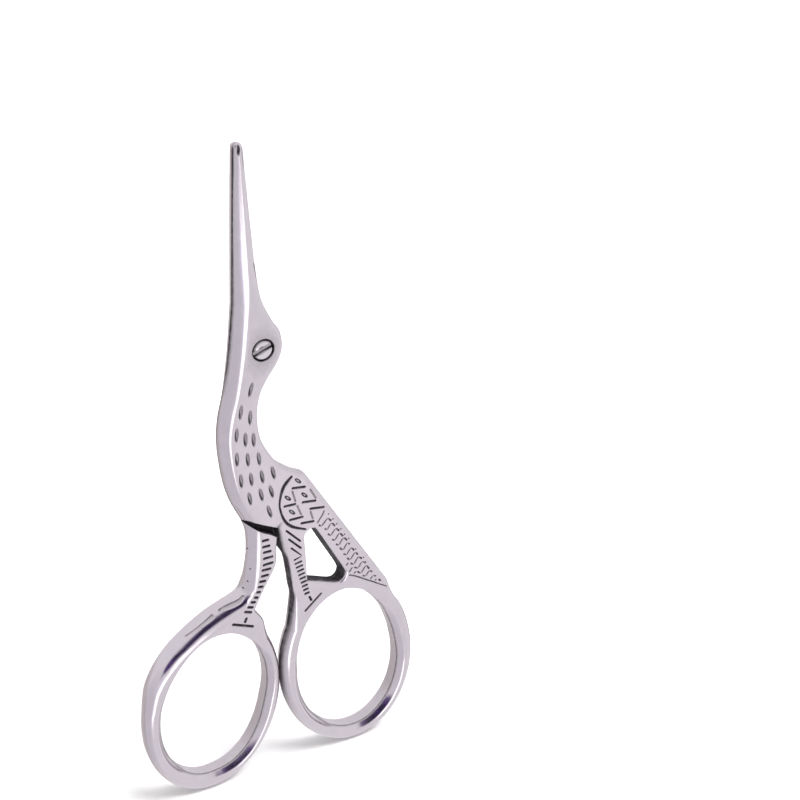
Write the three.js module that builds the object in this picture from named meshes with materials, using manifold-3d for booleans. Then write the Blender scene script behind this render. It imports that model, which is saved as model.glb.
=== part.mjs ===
// Stork-shaped embroidery scissors, closed and standing on the finger rings, in millimetres.
// X runs across the rings, Y through the thickness with the front at -Y, Z up to the blade tips.
import * as THREE from 'three';
import Module from 'manifold-3d';
import { mergeVertices } from 'three/addons/utils/BufferGeometryUtils.js';

// Thickness and running gaps
const FACE = 1.4;             // mid-plane to either flat face
const TIP_FACE = 0.75;        // mid-plane to the face of a blade at its tip
const LAYER_GAP = 0.1;        // between the two halves where they slide on each other
const SWING_GAP = 0.4;        // beside the full-thickness handle of the other half

// Blades
const TIP_Z = 90;             // top of the blade tips
const TIP_SPINE_X = -2.7;     // corner of the tip on the spine side of the front blade
const TIP_EDGE_X = -1.45;     // corner of the tip on the edge side of the front blade
const TAPER_Z = 66;           // height above which the blades grow thinner
const EDGE_LAND = 0.25;       // thickness left along a cutting edge
const EDGE_SLOPE = 1.25;      // width per depth of the ground face beside a cutting edge
const SPINE_SLOPE = 0.68;     // width per depth of the bevel along the spine and the chest
const LEG_SLOPE = 0.58;       // width per depth of the bevel outside the left leg
const EDGE_RUNOUT = 4;        // length over which a ground face runs out into the head
const RUNOUT_FLARE = 7;       // sideways reach of that run-out, clear of the head

// Pivot screw
const PIVOT_X = -0.58;
const PIVOT_Z = 62.9;
const HEAD_RADIUS = 1.36;
const HEAD_HEIGHT = 0.55;
const HEAD_CLEARANCE = 0.12;
const SEAT_CLEARANCE = 0.05;  // under the head
const HEAD_SINK = 0.05;       // depth of the head and of the screw end below the faces
const SHANK_RADIUS = 0.85;
const PIVOT_CLEARANCE = 0.08; // round the shank in the front half
const THREAD_CLEARANCE = 0.05; // round the shank in the rear half
const SLOT_WIDTH = 0.5;
const SLOT_DEPTH = 0.35;
const SLOT_TILT = 0.42;       // radians up from the X axis
const ROUND_SEGMENTS = 32;

// Finger rings, mirrored about X = 0
const RING_HALF_WIDTH = 8.4;  // centre line of the ring bar
const RING_HALF_HEIGHT = 11.9;
const RING_BAR = 1.32;        // half the width of the bar
const RING_TILT = 0.147;      // radians, tops leaning together
const RING_GAP = 0.12;        // between the closed rings
const RING_FACE = 1.34;       // mid-plane to the front of the bar
const RING_ROUND = 0.95;      // rounding of the bar, across
const RING_LAND = 0.12;       // parting land half-way through the bar
const RING_SEGMENTS = 24;
const RING_ROUND_SEGMENTS = 3;
const CURVE_SEGMENTS = 3;     // of an outline, between two of its points

// Engraved marks
const MARK_DEPTH = 0.22;
const MARK_WIDTH = 0.3;
const FEATHER_LENGTH = 1.9;
const FEATHER_WIDTH = 0.68;
const FEATHER_UPRIGHT_Z = 52.5; // height of the row that stands upright
const FEATHER_TURN = 0.03;      // radians of lean per millimetre away from that row

const BEYOND = 150;             // a distance outside the whole object

const STEEL = { color: 0xbdb5bd, roughness: 0.28, metalness: 1 };
const SCREW_STEEL = { color: 0xc9c4c8, roughness: 0.24, metalness: 1 };

// Outlines, each a list of [x, z]
const CHEST = [
  [-4.2, 39.2], [-5.6, 42.4], [-6.45, 45.8], [-6.9, 50.6], [-6.6, 54.3], [-5.6, 58.2], [-4.7, 62.9], [-3.85, 69.5],
];
const HEAD_AND_NECK = [
  [-0.7, 74.5], [-0.5, 71.6], [-0.15, 69.2], [0.9, 66.55], [1.8, 65], [2.12, 63.4], [1.95, 61.9], [1.2, 60.4],
  [-0.15, 58.65], [-1.2, 56.7], [-1.7, 54], [-1.45, 50.9], [-0.6, 48.7], [0.7, 47], [2.2, 45.8],
];
const SHOULDER = [[3.9, 44.6], [5.15, 42.75]];
const TAIL = [[16, 23.95], [16.6, 22.1], [17.4, 20.4]];
const FOOT = [
  [2.75, 20.6], [1.85, 23.1], [2.2, 25.7], [1.97, 27.3], [1.75, 29.6], [1.4, 32], [0.75, 33.3], [0.4, 34.6], [0.1, 36.9],
];
const BELLY = [[-1.55, 37.9], [-3.3, 39.3]];
const WING = [[0.15, 37.1], [0.35, 39], [0.6, 41], [1.2, 42.8], [2.1, 44.2], [2.9, 45.3]];
const LEFT_LEG_TOP = [[-3.8, 39], [-2.1, 37.3], [-0.9, 36.5], [-0.3, 35.7]];
const LEFT_LEG_INSIDE = [
  [-0.2, 34], [-0.15, 32.3], [-0.6, 31.1], [-2, 28.6], [-3.2, 26.3], [-3.25, 25.6], [-2.3, 24.1], [-1.85, 22.3],
  [-2.75, 20.6],
];
const LEFT_LEG_OUTSIDE = [
  [-14.3, 24.1], [-11.8, 26.4], [-9.9, 27.3], [-7.6, 28.1], [-5.5, 28.9], [-4.65, 30.2], [-4.2, 31.6], [-3.75, 34.4],
  [-3.7, 37.2],
];
const TAIL_HOLE = [[4.9, 35.6], [4, 34.7], [4.15, 28.1], [4.45, 27.75], [8.35, 26.15]];
const TAIL_HOLE_CORNER = [[9.3, 26.35], [9.65, 27.1], [9.55, 27.8]];
const TAIL_HOLE_APEX = [5.7, 35.2];

// Feather rows: height, first x, step in x, step in z, number of feathers
const FEATHER_ROWS = [
  [58, -2.5, 0, 0, 1],
  [55.2, -4, 1.25, -1, 2],
  [52.1, -4.7, 1.13, -0.6, 3],
  [48.8, -4.85, 1.5, -0.4, 3],
  [45.55, -4.45, 1.48, -0.05, 4],
  [42.7, -3.4, 1.5, 0.06, 3],
  [40, -0.8, 0, 0, 1],
];
// Straight marks on the wing, each from one [x, z] to another
const WING_MARKS = [
  [[2.4, 42.4], [4.4, 42]], [[2.4, 42.4], [3, 39.9]], [[0.95, 40.1], [3, 39.9]], [[3, 39.9], [3.6, 37.8]],
  [[1.85, 37.9], [3.8, 37.7]], [[3.7, 39.9], [5.8, 39.5]], [[4.8, 38.6], [6.9, 38.2]], [[4.8, 38.6], [5.3, 36.7]],
  [[3.5, 36.9], [5.3, 36.6]], [[6.9, 38.1], [6, 36.4]],
];
const WING_ARC = [[2.6, 44.2], [1.35, 42.9], [0.75, 40.9], [0.8, 39.5], [1.35, 37.9], [2.4, 36.7], [3.5, 36.1]];
const WING_SPOTS = [[3.35, 43.2], [4.2, 40.9], [1.85, 41.1], [2.35, 38.9]];
const THIGH_MARKS = [
  [[1.3, 36.6], [3.4, 34.2]], [[1.6, 35.1], [3.4, 33.1]], [[1.9, 33.7], [3.4, 32]],
];
const CLAW_MARKS = [[[4.3, 25.3], [4.9, 24.6]], [[3.6, 23.6], [6, 25.4]]];
const LEFT_CLAW_MARKS = [[[-4.7, 25.3], [-5.2, 24.5]], [[-6.8, 24.8], [-3.9, 23.7]]];
// Hatched lines: centre line, number of strokes, length of the strokes
const LEFT_SHIN = [[-1.7, 36.3], [-1.5, 34.5], [-1.45, 32.2], [-2.3, 30], [-3.4, 27.9], [-4.4, 26.2]];
const LEFT_SHIN_COUNT = 14;
const LEFT_SHIN_LENGTH = 1.25;
const RIGHT_SHIN = [[2.85, 31.4], [3.1, 29.8], [3.3, 28.2], [3.8, 26.3]];
const RIGHT_SHIN_COUNT = 8;
const RIGHT_SHIN_LENGTH = 1;
const TAIL_LINE = [[7.1, 36.4], [9.4, 32.4], [11.6, 28.5], [14.2, 24.9]];
const TAIL_COUNT = 14;
const TAIL_LENGTH = 1.9;

const wasm = await Module();
wasm.setup();

function solid(geometry) {
  geometry.deleteAttribute('normal');
  geometry.deleteAttribute('uv');
  const merged = mergeVertices(geometry, 1e-4);
  return new wasm.Manifold(new wasm.Mesh({
    numProp: 3,
    vertProperties: new Float32Array(merged.attributes.position.array),
    triVerts: new Uint32Array(merged.index.array),
  }));
}

function union(solids) {
  return solids.reduce((sum, next) => sum.add(next));
}

function vectors(points) {
  return points.map(([x, z]) => new THREE.Vector2(x, z));
}

// Extrude settings share one frame: shape x and y become X and Z, the depth runs along Y.
function turnUpright(geometry, yBack) {
  geometry.rotateX(Math.PI / 2);
  geometry.translate(0, yBack, 0);
  return geometry;
}

function plateGeometry(shape, yFront, yBack, curveSegments = CURVE_SEGMENTS) {
  const settings = { depth: yBack - yFront, bevelEnabled: false, curveSegments };
  return turnUpright(new THREE.ExtrudeGeometry(shape, settings), yBack);
}

function plate(shape, yFront, yBack) {
  return solid(plateGeometry(shape, yFront, yBack));
}

// A plate through the whole thickness whose outline slides along X with the depth, except at yStill.
function leaningPlate(shape, lean, yStill) {
  const geometry = plateGeometry(shape, -FACE * 2, FACE * 2);
  geometry.applyMatrix4(new THREE.Matrix4().makeShear(0, 0, lean, 0, 0, 0));
  geometry.translate(-lean * yStill, 0, 0);
  return solid(geometry);
}

const RING_REACH = Math.hypot(RING_HALF_WIDTH * Math.cos(RING_TILT), RING_HALF_HEIGHT * Math.sin(RING_TILT));
const RING_RISE = Math.hypot(RING_HALF_HEIGHT * Math.cos(RING_TILT), RING_HALF_WIDTH * Math.sin(RING_TILT));
const RING_X = RING_REACH + RING_BAR + RING_GAP / 2;
const RING_Z = RING_RISE + RING_BAR;

// Ellipse round a ring; side is 1 for the right ring and -1 for the left one.
function ringEllipse(path, side, offset) {
  const width = RING_HALF_WIDTH + offset;
  const height = RING_HALF_HEIGHT + offset;
  path.absellipse(side * RING_X, RING_Z, width, height, 0, Math.PI * 2, false, side * RING_TILT);
  return path;
}

function fingerRing(side) {
  const shape = ringEllipse(new THREE.Shape(), side, RING_BAR);
  shape.holes.push(ringEllipse(new THREE.Path(), side, -RING_BAR));
  const geometry = new THREE.ExtrudeGeometry(shape, {
    depth: RING_LAND,
    bevelThickness: RING_FACE - RING_LAND / 2,
    bevelSize: RING_ROUND,
    bevelOffset: -RING_ROUND,
    bevelSegments: RING_ROUND_SEGMENTS,
    curveSegments: RING_SEGMENTS,
  });
  return solid(turnUpright(geometry, RING_LAND / 2));
}

// Everything inside the centre line of a ring's bar.
function insideRing(side) {
  const shape = ringEllipse(new THREE.Shape(), side, 0);
  return solid(plateGeometry(shape, -FACE * 2, FACE * 2, RING_SEGMENTS));
}

// Back, tail and right leg of the front half, from the shoulder round to the crotch.
function drawTailAndLeg(shape) {
  shape.splineThru(vectors(SHOULDER));
  shape.lineTo(...TAIL[0]);
  shape.splineThru(vectors(TAIL.slice(1)));
  shape.lineTo(RING_X, RING_Z);
  shape.lineTo(...FOOT[0]);
  shape.splineThru(vectors(FOOT.slice(1)));
}

function tailHole() {
  const hole = new THREE.Shape();
  hole.moveTo(...TAIL_HOLE[0]);
  TAIL_HOLE.slice(1).forEach(([x, z]) => hole.lineTo(x, z));
  hole.splineThru(vectors(TAIL_HOLE_CORNER));
  hole.lineTo(...TAIL_HOLE_APEX);
  return hole;
}

function startAtTip() {
  const shape = new THREE.Shape();
  shape.moveTo(TIP_SPINE_X, TIP_Z);
  shape.lineTo(TIP_EDGE_X, TIP_Z);
  shape.lineTo(...HEAD_AND_NECK[0]);
  shape.splineThru(vectors(HEAD_AND_NECK.slice(1)));
  return shape;
}

function frontOutline() {
  const shape = startAtTip();
  drawTailAndLeg(shape);
  shape.splineThru(vectors(BELLY));
  shape.lineTo(...CHEST[0]);
  shape.splineThru(vectors(CHEST.slice(1)));
  return shape;
}

function frontHandleOutline() {
  const shape = new THREE.Shape();
  shape.moveTo(...WING.at(-1));
  drawTailAndLeg(shape);
  shape.splineThru(vectors(WING));
  return shape;
}

function drawLeftLeg(shape) {
  shape.splineThru(vectors(LEFT_LEG_INSIDE));
  shape.lineTo(-RING_X, RING_Z);
  shape.lineTo(...LEFT_LEG_OUTSIDE[0]);
  shape.splineThru(vectors(LEFT_LEG_OUTSIDE.slice(1)));
}

function rearOutline() {
  const shape = startAtTip();
  const beside = WING.map(([x, z]) => [x - SWING_GAP, z]).reverse();
  shape.splineThru(vectors(beside));
  drawLeftLeg(shape);
  shape.splineThru(vectors(CHEST));
  return shape;
}

function leftLegOutline() {
  const shape = new THREE.Shape();
  shape.moveTo(...LEFT_LEG_TOP[0]);
  shape.splineThru(vectors(LEFT_LEG_TOP.slice(1)));
  drawLeftLeg(shape);
  return shape;
}

// Everything to the right of a line that runs upwards, given as [x, z] points.
function rightOf(line) {
  const shape = new THREE.Shape();
  shape.moveTo(line[0][0], -BEYOND);
  shape.lineTo(...line[0]);
  shape.splineThru(vectors(line.slice(1)));
  shape.lineTo(line.at(-1)[0], BEYOND);
  shape.lineTo(BEYOND, BEYOND);
  shape.lineTo(BEYOND, -BEYOND);
  return shape;
}

function chestAndSpine() {
  return rightOf([...CHEST, [TIP_SPINE_X, TIP_Z]]);
}

// Everything beside a straight blade edge, on the side away from `outward` (1 for +X, -1 for -X).
// Below its root the edge runs out sideways, clear of the head.
function besideEdge(tipX, [rootX, rootZ], outward) {
  const flareX = rootX + outward * RUNOUT_FLARE;
  const flareZ = rootZ - EDGE_RUNOUT * 2;
  const shape = new THREE.Shape();
  shape.moveTo(-outward * BEYOND, BEYOND);
  shape.lineTo(tipX, BEYOND);
  shape.lineTo(tipX, TIP_Z);
  shape.lineTo(rootX, rootZ);
  shape.quadraticCurveTo(rootX, rootZ - EDGE_RUNOUT, flareX, flareZ);
  shape.lineTo(outward * BEYOND, flareZ);
  shape.lineTo(outward * BEYOND, -BEYOND);
  shape.lineTo(-outward * BEYOND, -BEYOND);
  return shape;
}

// Side view of one layer: flat up to the head, then thinner towards the tip.
function layerWedge(side) {
  const inner = side * LAYER_GAP / 2;
  const shape = new THREE.Shape();
  shape.moveTo(inner, 0);
  shape.lineTo(side * FACE, 0);
  shape.lineTo(side * FACE, TAPER_Z);
  shape.lineTo(side * TIP_FACE, TIP_Z);
  shape.lineTo(inner, TIP_Z);
  const geometry = new THREE.ExtrudeGeometry(shape, { depth: BEYOND, bevelEnabled: false });
  geometry.rotateX(Math.PI / 2);
  geometry.rotateZ(Math.PI / 2);
  geometry.translate(-BEYOND / 2, 0, 0);
  return solid(geometry);
}

function throughPlate(shape) {
  return plate(shape, -BEYOND, BEYOND);
}

// Blade, head, neck and body of the front half, with its flat right leg and tail.
function frontLayer() {
  const groundFace = besideEdge(TIP_EDGE_X, HEAD_AND_NECK[0], 1);
  return throughPlate(frontOutline())
    .intersect(layerWedge(-1))
    .intersect(leaningPlate(chestAndSpine(), -SPINE_SLOPE, 0))
    .intersect(leaningPlate(groundFace, EDGE_SLOPE, -EDGE_LAND));
}

// Blade, head, neck and body of the rear half, with the back of its left leg.
function rearLayer() {
  const groundFace = besideEdge(TIP_SPINE_X, CHEST.at(-1), -1);
  const bladeSpine = besideEdge(TIP_EDGE_X, HEAD_AND_NECK[0], 1);
  return throughPlate(rearOutline())
    .intersect(layerWedge(1))
    .intersect(leaningPlate(chestAndSpine(), SPINE_SLOPE, 0))
    .intersect(leaningPlate(groundFace, EDGE_SLOPE, EDGE_LAND))
    .intersect(leaningPlate(bladeSpine, -SPINE_SLOPE, 0));
}

function mark([fromX, fromZ], [toX, toZ], side) {
  const length = Math.hypot(toX - fromX, toZ - fromZ);
  const geometry = new THREE.BoxGeometry(length, MARK_DEPTH * 2, MARK_WIDTH);
  geometry.rotateY(-Math.atan2(toZ - fromZ, toX - fromX));
  geometry.translate((fromX + toX) / 2, side * FACE, (fromZ + toZ) / 2);
  return solid(geometry);
}

function lens(x, z, length, width, lean, side) {
  const geometry = new THREE.SphereGeometry(1, 8, 4);
  geometry.scale(width / 2, MARK_DEPTH, length / 2);
  geometry.rotateY(lean);
  geometry.translate(x, side * FACE, z);
  return solid(geometry);
}

function hatching(line, count, length, side) {
  const curve = new THREE.SplineCurve(vectors(line));
  const strokes = [];
  for (let index = 0; index < count; index += 1) {
    const share = index / (count - 1);
    const centre = curve.getPointAt(share);
    const along = curve.getTangentAt(share);
    const across = new THREE.Vector2(-along.y, along.x).multiplyScalar(length / 2);
    strokes.push(mark([centre.x - across.x, centre.y - across.y], [centre.x + across.x, centre.y + across.y], side));
  }
  return union(strokes);
}

function groove(line, side) {
  const points = new THREE.SplineCurve(vectors(line)).getSpacedPoints(line.length * 2);
  const pieces = points.slice(1).map((point, index) => mark(points[index].toArray(), point.toArray(), side));
  return union(pieces);
}

function feathers(side) {
  const lenses = [];
  FEATHER_ROWS.forEach(([z, firstX, stepX, stepZ, count]) => {
    for (let index = 0; index < count; index += 1) {
      const height = z + stepZ * index;
      const lean = (height - FEATHER_UPRIGHT_Z) * FEATHER_TURN;
      lenses.push(lens(firstX + stepX * index, height, FEATHER_LENGTH, FEATHER_WIDTH, lean, side));
    }
  });
  return union(lenses);
}

function marks(list, side) {
  return union(list.map(([from, to]) => mark(from, to, side)));
}

function wingPattern(side) {
  const spots = WING_SPOTS.map(([x, z]) => lens(x, z, FEATHER_LENGTH / 2, FEATHER_WIDTH * 0.8, -0.5, side));
  return union([
    groove(WING_ARC, side),
    marks(WING_MARKS, side),
    union(spots),
    marks(THIGH_MARKS, side),
    hatching(RIGHT_SHIN, RIGHT_SHIN_COUNT, RIGHT_SHIN_LENGTH, side),
    hatching(TAIL_LINE, TAIL_COUNT, TAIL_LENGTH, side),
    marks(CLAW_MARKS, side),
  ]);
}

function leftLegPattern(side) {
  return hatching(LEFT_SHIN, LEFT_SHIN_COUNT, LEFT_SHIN_LENGTH, side).add(marks(LEFT_CLAW_MARKS, side));
}

function pivotBore(radius, yFront, yBack) {
  const geometry = new THREE.CylinderGeometry(radius, radius, yBack - yFront, ROUND_SEGMENTS);
  geometry.translate(PIVOT_X, (yFront + yBack) / 2, PIVOT_Z);
  return solid(geometry);
}

function throughBore(radius) {
  return pivotBore(radius, -BEYOND, BEYOND);
}

function frontHalf() {
  const seat = -FACE + HEAD_SINK + HEAD_HEIGHT;
  const handle = plate(frontHandleOutline(), -FACE / 2, FACE);
  return frontLayer()
    .add(handle)
    .subtract(throughPlate(tailHole()))
    .subtract(insideRing(1))
    .add(fingerRing(1))
    .subtract(throughBore(SHANK_RADIUS + PIVOT_CLEARANCE))
    .subtract(pivotBore(HEAD_RADIUS + HEAD_CLEARANCE, -BEYOND, seat))
    .subtract(feathers(-1))
    .subtract(wingPattern(-1))
    .subtract(wingPattern(1));
}

function leftLeg() {
  const outside = rightOf([...LEFT_LEG_OUTSIDE, LEFT_LEG_TOP[0]]);
  return plate(leftLegOutline(), -FACE, FACE / 2).intersect(leaningPlate(outside, -LEG_SLOPE, 0));
}

function rearHalf() {
  return rearLayer()
    .add(leftLeg())
    .subtract(insideRing(-1))
    .add(fingerRing(-1))
    .subtract(throughBore(SHANK_RADIUS + THREAD_CLEARANCE))
    .subtract(feathers(1))
    .subtract(leftLegPattern(-1))
    .subtract(leftLegPattern(1));
}

function pivotScrew() {
  const top = -FACE + HEAD_SINK;
  const underHead = top + HEAD_HEIGHT - SEAT_CLEARANCE;
  const profile = vectors([
    [0, top],
    [HEAD_RADIUS, top],
    [HEAD_RADIUS, underHead],
    [SHANK_RADIUS, underHead],
    [SHANK_RADIUS, FACE - HEAD_SINK],
    [0, FACE - HEAD_SINK],
  ]);
  const body = new THREE.LatheGeometry(profile, ROUND_SEGMENTS);
  const slot = new THREE.BoxGeometry(HEAD_RADIUS * 3, SLOT_DEPTH * 2, SLOT_WIDTH);
  slot.rotateY(-SLOT_TILT);
  slot.translate(0, top, 0);
  return solid(body).subtract(solid(slot));
}

function node(name, body, finish) {
  const { vertProperties, triVerts } = body.getMesh();
  const geometry = new THREE.BufferGeometry();
  geometry.setAttribute('position', new THREE.BufferAttribute(vertProperties, 3));
  geometry.setIndex(new THREE.BufferAttribute(triVerts, 1));
  const mesh = new THREE.Mesh(geometry, new THREE.MeshStandardMaterial(finish));
  mesh.name = name;
  return mesh;
}

const scissors = new THREE.Group();
scissors.name = 'embroidery_scissors';
scissors.add(node('front_half', frontHalf(), STEEL));
scissors.add(node('rear_half', rearHalf(), STEEL));
const screw = node('pivot_screw', pivotScrew(), SCREW_STEEL);
screw.position.set(PIVOT_X, 0, PIVOT_Z);
scissors.add(screw);

export default scissors;
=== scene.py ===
import math

import bpy
import numpy as np
from mathutils import Matrix, Vector
from mathutils.geometry import delaunay_2d_cdt


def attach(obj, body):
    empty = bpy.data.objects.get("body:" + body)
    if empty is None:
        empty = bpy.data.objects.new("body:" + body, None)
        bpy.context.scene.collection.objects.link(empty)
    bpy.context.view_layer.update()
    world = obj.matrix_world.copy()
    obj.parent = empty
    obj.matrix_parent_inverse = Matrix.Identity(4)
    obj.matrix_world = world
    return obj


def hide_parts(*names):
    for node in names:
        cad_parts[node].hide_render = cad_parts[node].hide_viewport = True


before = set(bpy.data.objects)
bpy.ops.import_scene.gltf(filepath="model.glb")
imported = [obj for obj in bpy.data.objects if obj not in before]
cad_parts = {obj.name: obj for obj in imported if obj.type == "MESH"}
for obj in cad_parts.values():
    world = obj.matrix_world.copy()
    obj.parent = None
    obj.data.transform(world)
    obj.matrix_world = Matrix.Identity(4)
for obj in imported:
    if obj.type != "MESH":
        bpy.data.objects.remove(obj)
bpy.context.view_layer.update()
scene = bpy.context.scene

# Looks of the stork-shaped embroidery scissors. Shapes are written in millimetres in the frame's axes,
# as [x, z] points of the front view, and become metres when the meshes are made.
FACE = 1.4  # mid-plane to either flat face
TIP_FACE = 0.75  # mid-plane to the face at the blade tip
TAPER_Z = 66  # the blades grow thinner above this height
TIP_Z = 90
INNER = 0.05  # mid-plane to the sliding face of each half
STEP = 0.35  # spacing of points along outlines
SAME = 1e-6  # points nearer than this are one
MM = 0.001  # a millimetre in metres
FRONT, BACK = -1, 1

PIVOT = (-0.58, 62.9)
BORE_RADIUS = 1.48
HEAD_RADIUS = 1.29
SLOT_TILT = 0.32
SLOT_HALF = 0.25
SLOT_FLOOR = -1.0  # depth of the slot's floor
SEAT = -0.8  # depth of the seat under the screw head
UNDER_HEAD = -0.85
SHANK_RADIUS = 0.85
SHANK_HOLE = 0.93
THREAD_HOLE = 0.9
CIRCLE_POINTS, MOON_POINTS = 48, 20  # round the screw's holes, and round each half of its head

RING_HALF_WIDTH = 8.4
RING_HALF_HEIGHT = 11.9
RING_BAR = 1.32
RING_TILT = 0.147
RING_CENTRE = (9.87, 13.156)
RING_ROUND = 66  # about the way round a ring, to space its points
RING_WALL_SHADE = 0.12  # painted shade on the walls inside the rings

TIP = [(-2.74, 89.1), (-2.62, 89.72), (-2.1, 90), (-1.6, 89.75), (-1.42, 89.1)]
CHEST = [
    (-4.2, 39.2), (-5.6, 42.4), (-6.45, 45.8), (-6.9, 50.6), (-6.6, 54.3), (-5.6, 58.2), (-4.7, 62.9),
    (-3.85, 69.5),
]
HEAD_AND_NECK = [
    (-0.7, 74.5), (-0.5, 71.6), (-0.15, 69.2), (0.9, 66.55), (1.8, 65), (2.12, 63.4), (1.95, 61.9),
    (1.2, 60.4), (-0.15, 58.65), (-1.2, 56.7), (-1.7, 54), (-1.45, 50.9), (-0.6, 48.75), (0.29, 47.2),
    (0.95, 46.35), (1.85, 45.54),
]
SHOULDER = [(1.85, 45.54), (2.99, 44.69), (4.13, 44.05), (4.65, 43.6), (5.15, 42.75)]
TAIL = [(16, 23.95), (16.6, 22.1), (17.4, 20.4)]
FOOT = [
    (1.85, 23.1), (2.2, 25.7), (1.97, 27.3), (1.75, 29.6), (1.4, 32), (0.85, 33.4), (0.6, 34.7),
    (0.3, 37.15),
]
CHEST_LEAD, BELLY_LEAD = (-3.6, 37.8), (-5.5, 39.3)  # run these edges on past the corner where they meet
BELLY = [(0.3, 37.15), (-1.5, 38.1), (-3.3, 39.1), (-4.2, 39.2)]
WING = [(0.3, 37.15), (0.4, 39), (0.6, 41), (1.15, 42.3), (2.4, 42.95), (3.8, 43), (5.15, 42.75)]
BESIDE_WING = [
    (-0.95, 48.4), (0, 46.6), (0.9, 45.2), (1.55, 44.1), (0.85, 42.9), (0.3, 41), (0.15, 39),
    (0.1, 37.15),
]
LEFT_LEG_TOP = [(-3.8, 39), (-2.1, 37.3), (-0.7, 36.45), (0.22, 35.7)]
LEFT_LEG_INSIDE = [
    (0.1, 34.6), (-0.05, 33.6), (-0.06, 32.3), (-0.5, 31.1), (-2, 28.6), (-3.2, 26.3), (-3.25, 25.6),
    (-2.3, 24.1), (-1.85, 22.3),
]
LEFT_HEEL = [
    (-18.72, 18.1), (-17.4, 20.62), (-15.75, 22.6), (-14.1, 24), (-12.55, 25.05), (-11, 25.98),
    (-9.2, 26.85), (-7.06, 27.6), (-5.05, 28.38), (-4.4, 29.91), (-4.1, 31.48), (-3.75, 34.4),
    (-3.7, 37.2), (-4.2, 39.2),
]
TAIL_HOLE = [
    (4.9, 35.6), (4.2, 35.15), (3.97, 34.5), (4.06, 31.4), (4.15, 28.1), (4.45, 27.75), (6.4, 26.95),
    (8.35, 26.15), (9.2, 26.25), (9.65, 27), (9.5, 27.9), (7.6, 31.6), (5.75, 35.15), (5.4, 35.5),
]
HOLE_LEAN = (0, -0.5)  # the hole's back against its front
# How far each ring's hole reaches beyond an even bar, by degrees round it.
RIGHT_GROWTH = [
    (0, 0.16), (15, 0.16), (44, 0.35), (62, 0.9), (80, 1.12), (97, 0.98), (111, 0.85), (123, 0.72),
    (134, 0.5), (144, 0.27), (156, 0.05), (170, 0), (180, 0.15), (195, 0.38), (215, 0.55), (235, 0.65),
    (260, 0.5), (292, 0.36), (320, 0.42), (340, 0.36), (360, 0.16),
]
LEFT_GROWTH = [
    (0, 0.02), (20, -0.1), (40, -0.14), (55, -0.05), (67, 0.08), (85, 0.12), (102, 0.27), (125, 0.47),
    (154, 0.72), (170, 0.68), (185, 0.48), (205, 0.52), (225, 0.6), (240, 0.5), (258, 0.22), (300, 0.28),
    (331, 0.2), (360, 0.02),
]


def snapped(points):
    """Points on a grid of a thousandth of a millimetre, so that the faces that meet there share them."""
    return np.round(np.array(points, float), 3)


def spline(points):
    """Points along a smooth curve through the given ones, about STEP apart."""
    p = np.array([points[0], *points, points[-1]], float)
    made = [p[1]]
    for a, b, c, d in zip(p[:-3], p[1:-2], p[2:-1], p[3:]):
        count = max(2, math.ceil(np.linalg.norm(c - b) / STEP))
        t = (np.arange(1, count + 1) / count)[:, None]
        v, w = (c - a) / 2, (d - b) / 2
        made.extend((2 * b - 2 * c + v + w) * t**3 + (3 * c - 3 * b - 2 * v - w) * t**2 + v * t + b)
    return snapped(made)


def bent(points, radius=0.22):
    """A line through the given points with its corners rounded off."""
    p = np.array(points, float)
    made = [p[:1]]
    t = np.linspace(0, 1, 7)[:, None]
    for a, b, c in zip(p[:-2], p[1:-1], p[2:]):
        into, out = (b + (q - b) / np.linalg.norm(q - b) * radius for q in (a, c))
        made.append((1 - t) ** 2 * into + 2 * t * (1 - t) * b + t**2 * out)
    return np.vstack([*made, p[-1:]])


def line(start, end):
    count = max(1, math.ceil(math.dist(start, end) / STEP))
    return snapped(np.linspace(start, end, count + 1))


def ring_angles(start, end):
    """Degrees round a ring, about STEP apart on its outline."""
    return np.linspace(start, end, max(2, math.ceil(abs(end - start) / 360 * RING_ROUND / STEP)) + 1)


def ring_points(side, offset, degrees):
    """Points of a finger ring's outline; side is 1 for the right ring, -1 for the left."""
    t = np.radians(degrees)
    across = (RING_HALF_WIDTH + offset) * np.cos(t)
    along = (RING_HALF_HEIGHT + offset) * np.sin(t)
    c, s = math.cos(RING_TILT), math.sin(RING_TILT)
    x = RING_CENTRE[0] + across * c - along * s
    z = RING_CENTRE[1] + across * s + along * c
    return snapped(np.column_stack([side * x, z]))


def ring_hole(side, degrees, growth):
    return ring_points(side, np.interp(degrees, *zip(*growth)) - RING_BAR, degrees)


def pivot_arc(radius, t):
    """Points round the pivot at the given angles."""
    return snapped(np.column_stack([PIVOT[0] + radius * np.cos(t), PIVOT[1] + radius * np.sin(t)]))


def pivot_circle(radius):
    return pivot_arc(radius, np.linspace(0, 2 * math.pi, CIRCLE_POINTS + 1)[:-1])


def lengths(vectors):
    return np.linalg.norm(vectors, axis=1)


def fresh(points):
    """Which points of a line don't repeat the one before."""
    return np.concatenate([[True], lengths(np.diff(points, axis=0)) > SAME])


def joined(*pieces):
    """One line from several that follow each other, without the doubled points."""
    points = np.vstack(pieces)
    return points[fresh(points)]


def inside(points, polygon):
    """Which points lie in a polygon."""
    x, z = points[:, :1], points[:, 1:]
    a, b = polygon, np.roll(polygon, -1, axis=0)
    crosses = (a[:, 1] > z) != (b[:, 1] > z)
    rise = np.where(b[:, 1] == a[:, 1], 1, b[:, 1] - a[:, 1])
    reach = a[:, 0] + (z - a[:, 1]) * (b[:, 0] - a[:, 0]) / rise
    return (crosses & (x < reach)).sum(axis=1) % 2 == 1


def turning(a, b, c):
    """Above zero where the way from a by b to c turns left."""
    ahead, aside = b - a, c - a
    return ahead[..., 0] * aside[..., 1] - ahead[..., 1] * aside[..., 0]


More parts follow.
